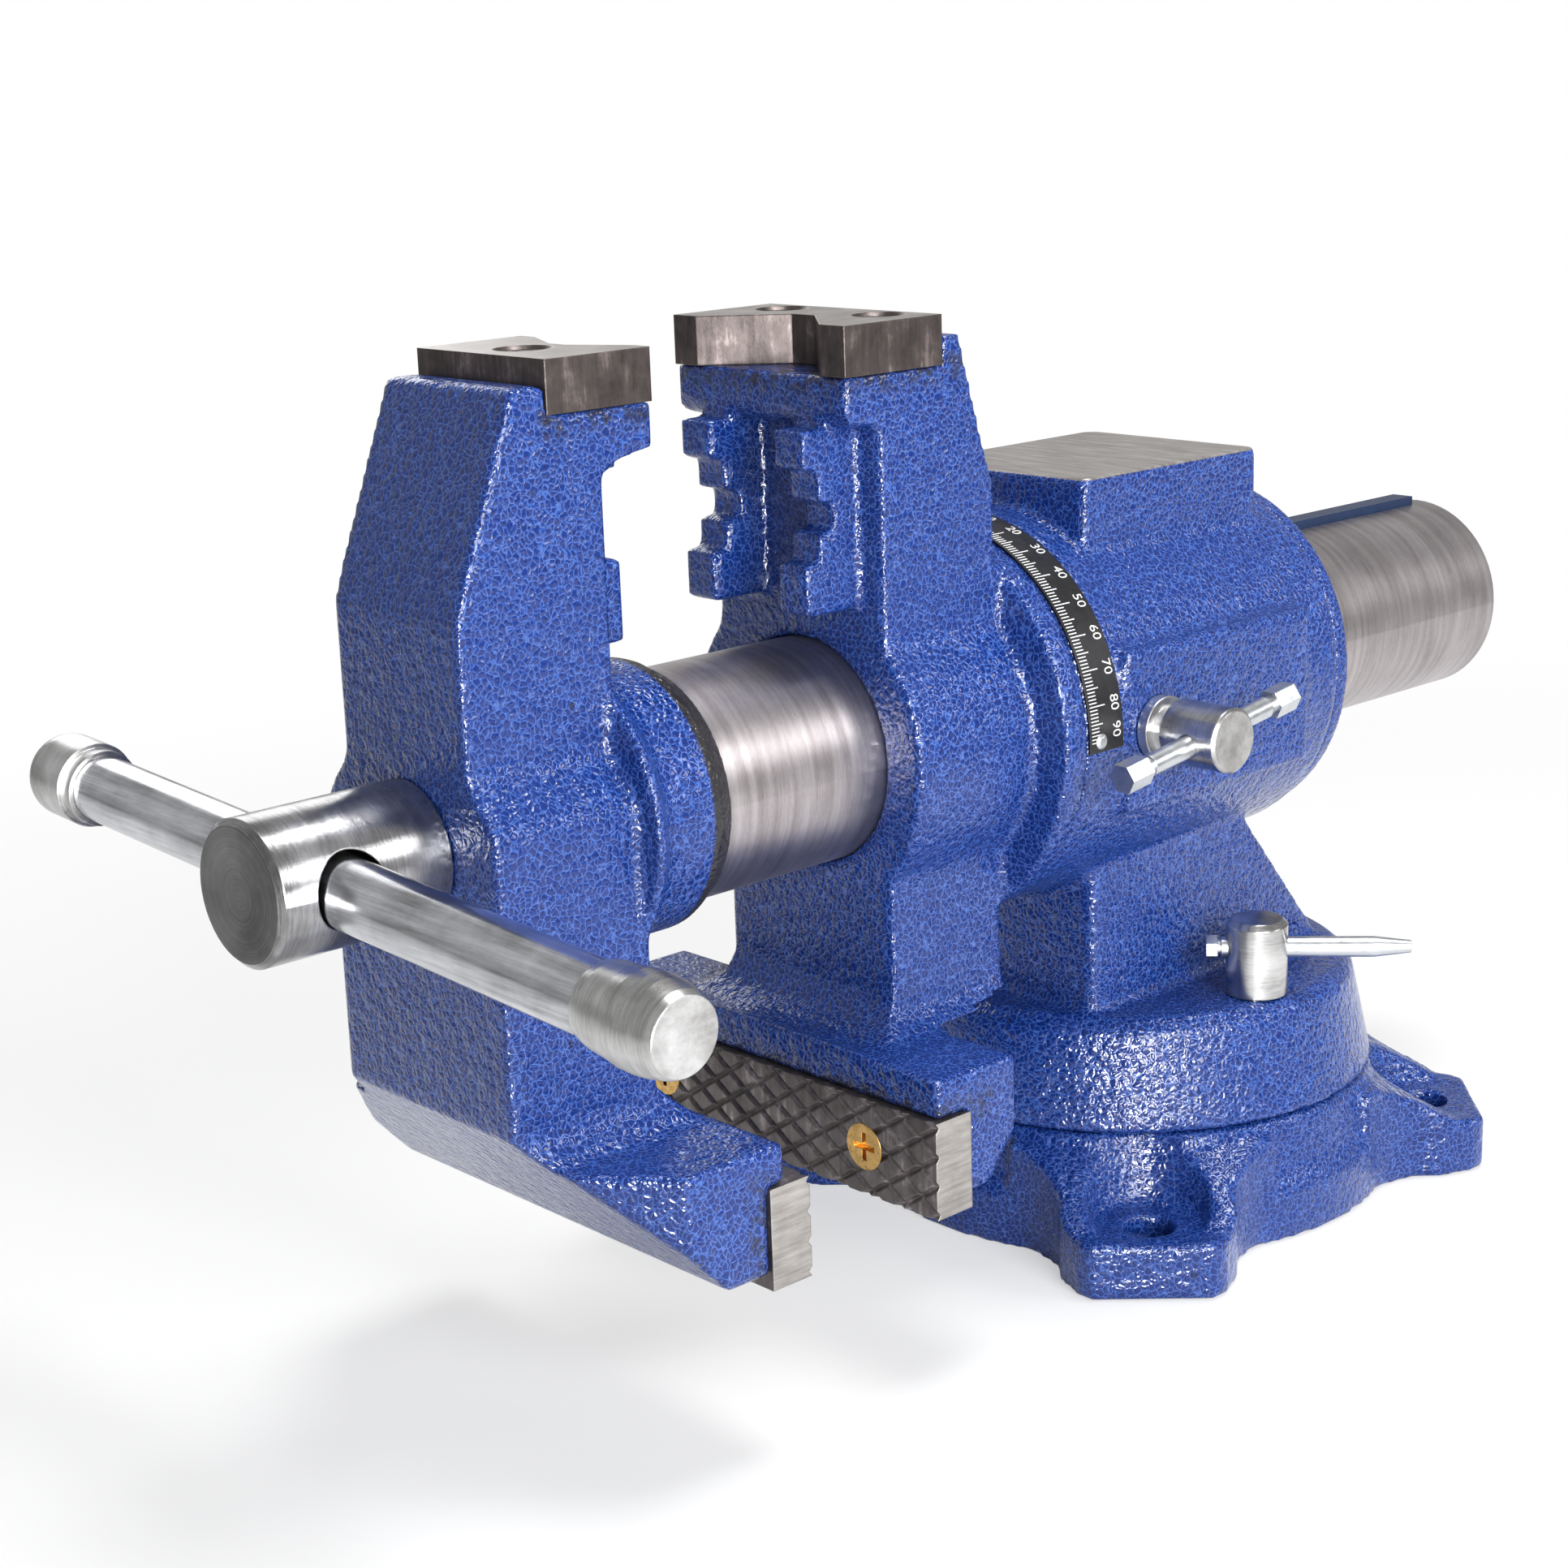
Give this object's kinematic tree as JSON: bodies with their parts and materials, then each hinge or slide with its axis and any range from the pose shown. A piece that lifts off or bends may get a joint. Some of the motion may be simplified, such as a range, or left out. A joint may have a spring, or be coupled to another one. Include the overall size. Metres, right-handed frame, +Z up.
{
  "type": "swivel bench vise",
  "caption": "Bench vise on a swivel base with a rotating head, serrated jaws below, V-notched and pipe jaws above, an anvil block and a sliding T-handle.",
  "frame": {"origin": "centre of the base's underside on the swivel axis", "axes": "+Z up along the swivel axis, the spindle handle towards -Y, +X to the right seen from the handle"},
  "size_m": [0.2362, 0.4234, 0.2512],
  "materials": {
    "paint": "blue hammertone enamel, glossy",
    "zinc": "bright zinc plating on turned steel",
    "tube": "ground steel with turning lines",
    "dark": "dark oxidised steel",
    "strip": "black strip with white graduations",
    "yellow": "yellow zinc plating",
    "brass": "plain machined brass"
  },
  "bodies": {
    "base": {"base_casting": "paint"},
    "swivel": {"swivel_housing": "paint", "degree_scale": "strip", "scale_rivets": "zinc", "head_lock_pad": "brass", "tee_nuts": "dark"},
    "head": {"rear_jaw": "paint", "retaining_ring": "paint", "ring_screws": "dark", "spindle_nut": "brass", "nut_screw": "dark", "rear_v_plate": "dark", "rear_v_screws": "dark", "rear_serrated_plate": "dark", "rear_plate_screws": "yellow"},
    "slide": {"front_jaw": "paint", "slide_tube": "tube", "slide_key": "dark", "front_v_plate": "dark", "front_v_screw": "dark", "front_serrated_plate": "dark", "front_plate_screws": "yellow"},
    "spindle": {"spindle": "zinc", "spindle_collar": "zinc", "collar_pin": "dark"},
    "handle": {"handle_bar": "zinc", "handle_knob_left": "zinc", "handle_knob_right": "zinc"},
    "head_lock": {"head_lock_screw": "zinc"},
    "head_lock_tee": {"head_lock_bar": "zinc"},
    "lock_right": {"swivel_lock_right": "zinc"},
    "lock_right_tee": {"swivel_bar_right": "zinc"},
    "lock_left": {"swivel_lock_left": "zinc"},
    "lock_left_tee": {"swivel_bar_left": "zinc"}
  },
  "joints": [
    {"name": "base_swivel", "type": "hinge", "parent": "base", "child": "swivel", "pos_m": [0, 0, 0.0325], "axis": [0, 0, 1], "continuous": true},
    {"name": "head_turn", "type": "hinge", "parent": "swivel", "child": "head", "pos_m": [0, 0, 0.144], "axis": [0, -1, 0], "continuous": true},
    {"name": "jaw_slide", "type": "slide", "parent": "head", "child": "slide", "axis": [0, -1, 0], "range_m": [-0.0405, 0.084]},
    {"name": "spindle_turn", "type": "hinge", "parent": "slide", "child": "spindle", "pos_m": [0, -0.2408, 0.144], "axis": [0, -1, 0], "range_deg": [-2920, 6052]},
    {"name": "handle_slide", "type": "slide", "parent": "spindle", "child": "handle", "axis": [0.9986, 0, -0.0523], "range_m": [-0.082, 0.07]},
    {"name": "head_lock_turn", "type": "hinge", "parent": "swivel", "child": "head_lock", "pos_m": [0.06, -0.047, 0.144], "axis": [1, 0, 0], "range_deg": [-180, 180]},
    {"name": "head_lock_tee_slide", "type": "slide", "parent": "head_lock", "child": "head_lock_tee", "axis": [0, 0.9903, 0.1392], "range_m": [-0.015, 0.015]},
    {"name": "lock_right_turn", "type": "hinge", "parent": "swivel", "child": "lock_right", "pos_m": [0.053, -0.0065, 0.0626], "axis": [0, 0, 1], "range_deg": [-110, 55]},
    {"name": "lock_right_tee_slide", "type": "slide", "parent": "lock_right", "child": "lock_right_tee", "axis": [0.7431, 0.6691, 0], "range_m": [-0.005, 0.002]},
    {"name": "lock_left_turn", "type": "hinge", "parent": "swivel", "child": "lock_left", "pos_m": [-0.053, -0.0065, 0.0626], "axis": [0, 0, 1], "range_deg": [-55, 110]},
    {"name": "lock_left_tee_slide", "type": "slide", "parent": "lock_left", "child": "lock_left_tee", "axis": [-0.7431, 0.6691, 0], "range_m": [-0.005, 0.002]}
  ],
  "couplings": [
    {"joint": "spindle_turn", "follows": "jaw_slide", "rad_per_m": 1256.6}
  ]
}
